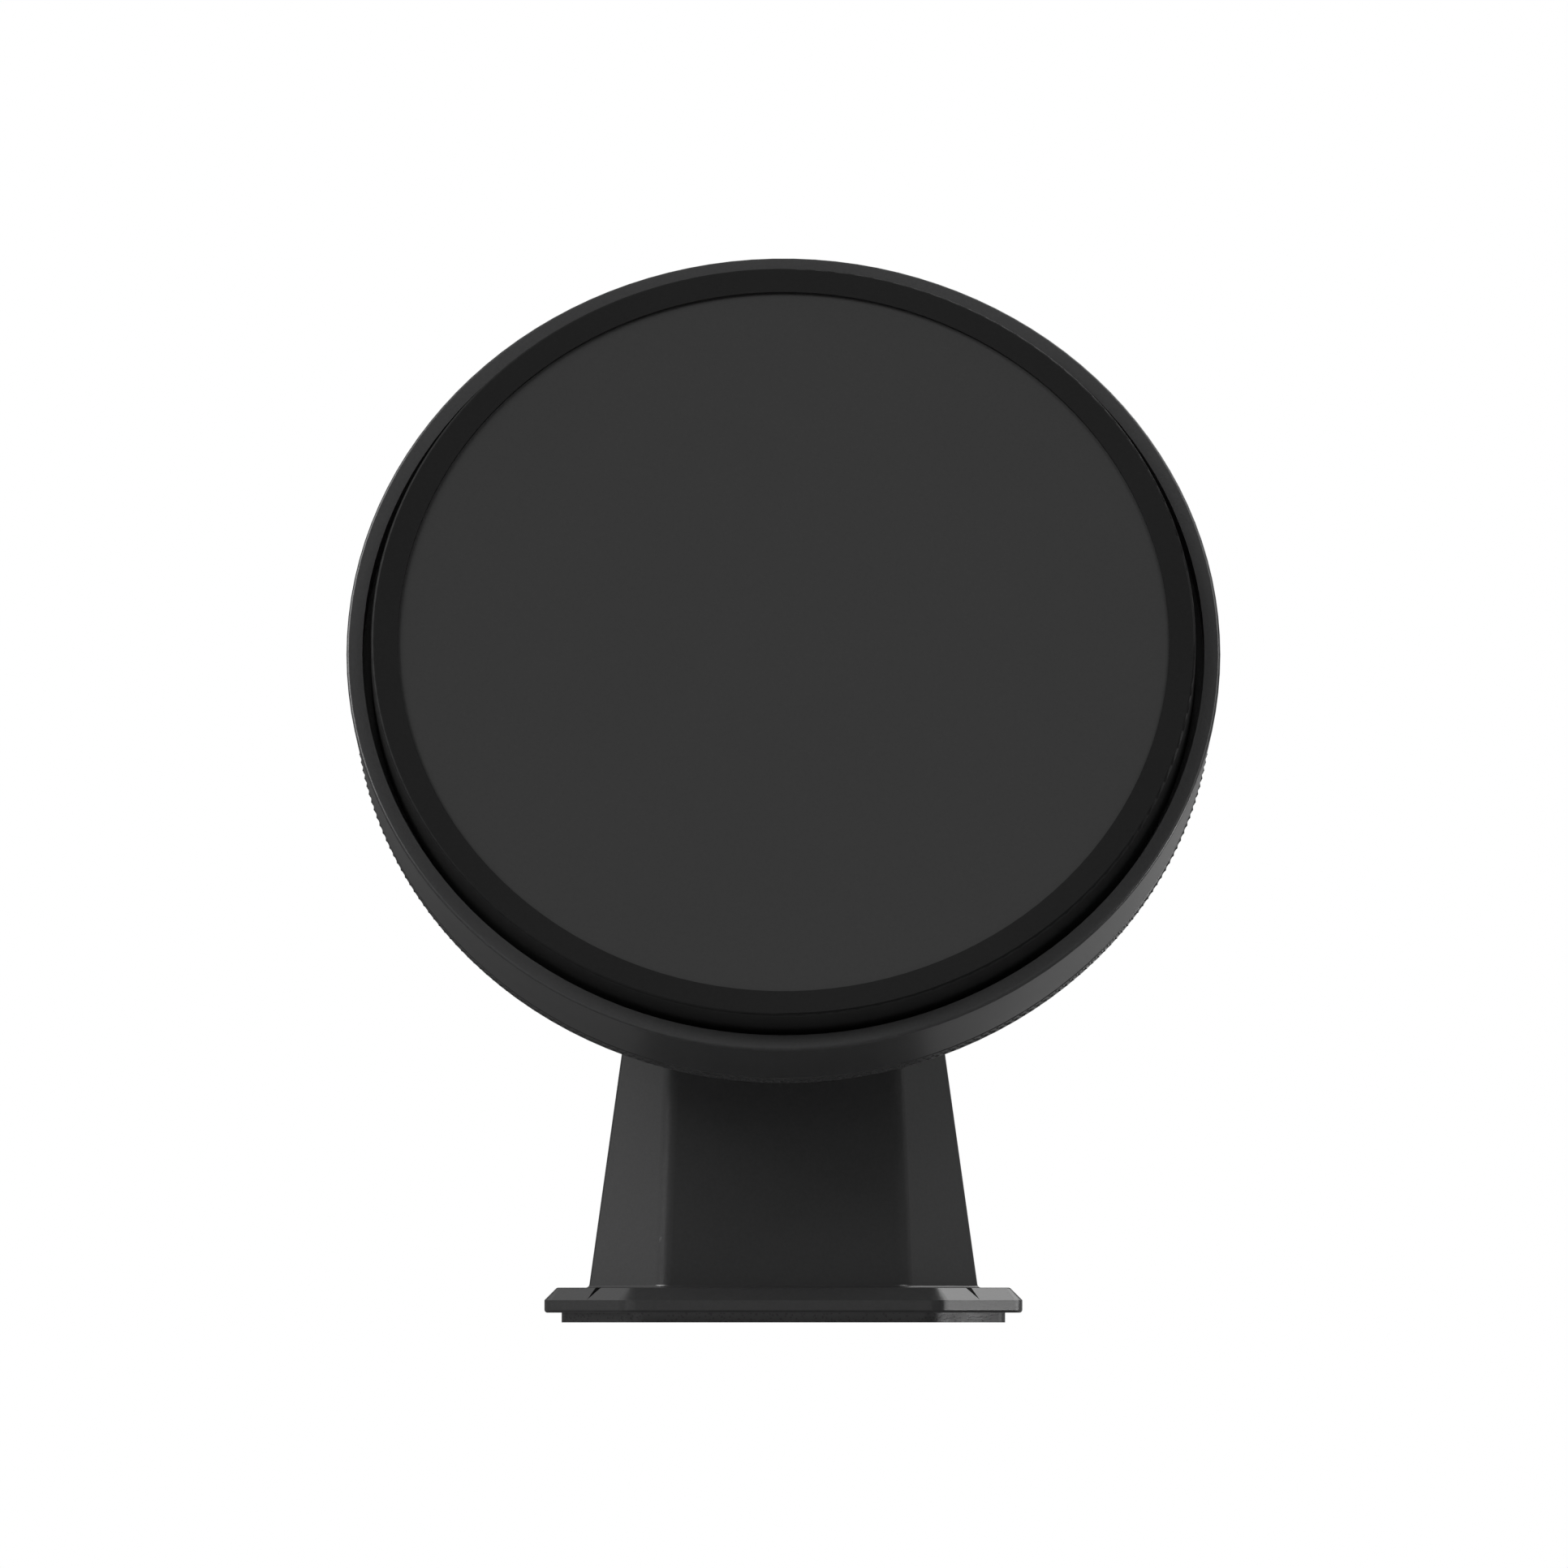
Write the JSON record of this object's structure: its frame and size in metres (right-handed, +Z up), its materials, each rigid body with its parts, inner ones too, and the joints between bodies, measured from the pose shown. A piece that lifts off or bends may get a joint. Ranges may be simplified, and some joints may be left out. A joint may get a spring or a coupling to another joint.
{
  "type": "binnacle compass",
  "caption": "Tilted round steering compass head on a tapered pedestal, with a lift-off protective cover, a gimballed card and screw-adjusted compensators.",
  "frame": {"origin": "centre of the deck hole pattern, on the deck under the base gasket", "axes": "+Z up from the deck, front of the compass towards -Y, +X to the right as seen from the front"},
  "size_m": [0.13, 0.1119, 0.1582],
  "materials": {
    "black_plastic": "satin moulded plastic, fine grain",
    "cover_plastic": "satin moulded plastic, near black",
    "cover_face": "flat matt dark grey",
    "foam_rubber": "closed-cell rubber foam",
    "seal_rubber": "moulded rubber",
    "inner_plastic": "moulded nylon",
    "bowl_plastic": "gloss moulded plastic",
    "lens_clear": "clear polished acrylic",
    "stainless": "stainless steel",
    "brass_turned": "turned brass",
    "circuit_board": "green circuit board",
    "lamp_body": "lamp package",
    "lubber_paint": "orange paint",
    "card_face": "matt card with white graduations",
    "card_foam": "rigid float foam",
    "magnet_steel": "dull ground magnet"
  },
  "bodies": {
    "pedestal_and_head": {"base_gasket": "foam_rubber", "pedestal": "black_plastic", "saddle_gasket": "foam_rubber", "saddle_screws": "stainless", "saddle_washers": "stainless", "cable_grommet": "foam_rubber", "compensator_frame": "inner_plastic", "frame_screws": "stainless", "rear_shell": "black_plastic", "shell_seal": "seal_rubber", "front_shell": "black_plastic", "shell_screws": "stainless", "cover_seal": "seal_rubber", "capsule_bowl": "bowl_plastic", "lens_seal": "seal_rubber", "lens": "lens_clear", "lens_ring": "black_plastic", "lens_ring_screws": "stainless", "diaphragm": "seal_rubber", "diaphragm_ring": "brass_turned", "diaphragm_screws": "stainless", "fill_plug": "brass_turned", "fill_plug_seal": "seal_rubber", "gimbal_pins": "stainless", "lamp_board": "circuit_board", "lamp_board_screws": "stainless", "lamps": "lamp_body"},
    "gimbal": {"gimbal_ring": "inner_plastic"},
    "cradle": {"card_cradle": "inner_plastic", "cradle_pins": "stainless", "counterweight": "brass_turned", "pivot_pin": "stainless", "lubber_posts": "lubber_paint"},
    "card": {"card_dial": "card_face", "card_float": "card_foam", "card_magnets": "magnet_steel", "jewel_cup": "brass_turned"},
    "side_compensator": {"side_adjuster": "brass_turned", "side_adjuster_magnet": "magnet_steel"},
    "rear_compensator": {"rear_adjuster": "brass_turned", "rear_adjuster_magnet": "magnet_steel"},
    "cover": {"cover_shell": "cover_plastic", "cover_panel": "cover_face"}
  },
  "joints": [
    {"name": "cover_lift", "type": "slide", "parent": "pedestal_and_head", "child": "cover", "axis": [0, -0.9063, 0.4226], "range_m": [0, 0.05]},
    {"name": "gimbal_pitch", "type": "hinge", "parent": "pedestal_and_head", "child": "gimbal", "pos_m": [0, 0, 0.08253], "axis": [1, 0, 0], "range_deg": [-30, 30]},
    {"name": "gimbal_roll", "type": "hinge", "parent": "gimbal", "child": "cradle", "pos_m": [0, 0, 0.08253], "axis": [0, 1, 0], "range_deg": [-30, 30]},
    {"name": "card_spin", "type": "hinge", "parent": "cradle", "child": "card", "pos_m": [0, 0, 0.08253], "axis": [0, 0, 1], "continuous": true},
    {"name": "side_adjuster_turn", "type": "hinge", "parent": "pedestal_and_head", "child": "side_compensator", "pos_m": [0, 0, 0.026], "axis": [1, 0, 0], "continuous": true},
    {"name": "rear_adjuster_turn", "type": "hinge", "parent": "pedestal_and_head", "child": "rear_compensator", "pos_m": [0, 0, 0.017], "axis": [0, 1, 0], "continuous": true}
  ]
}
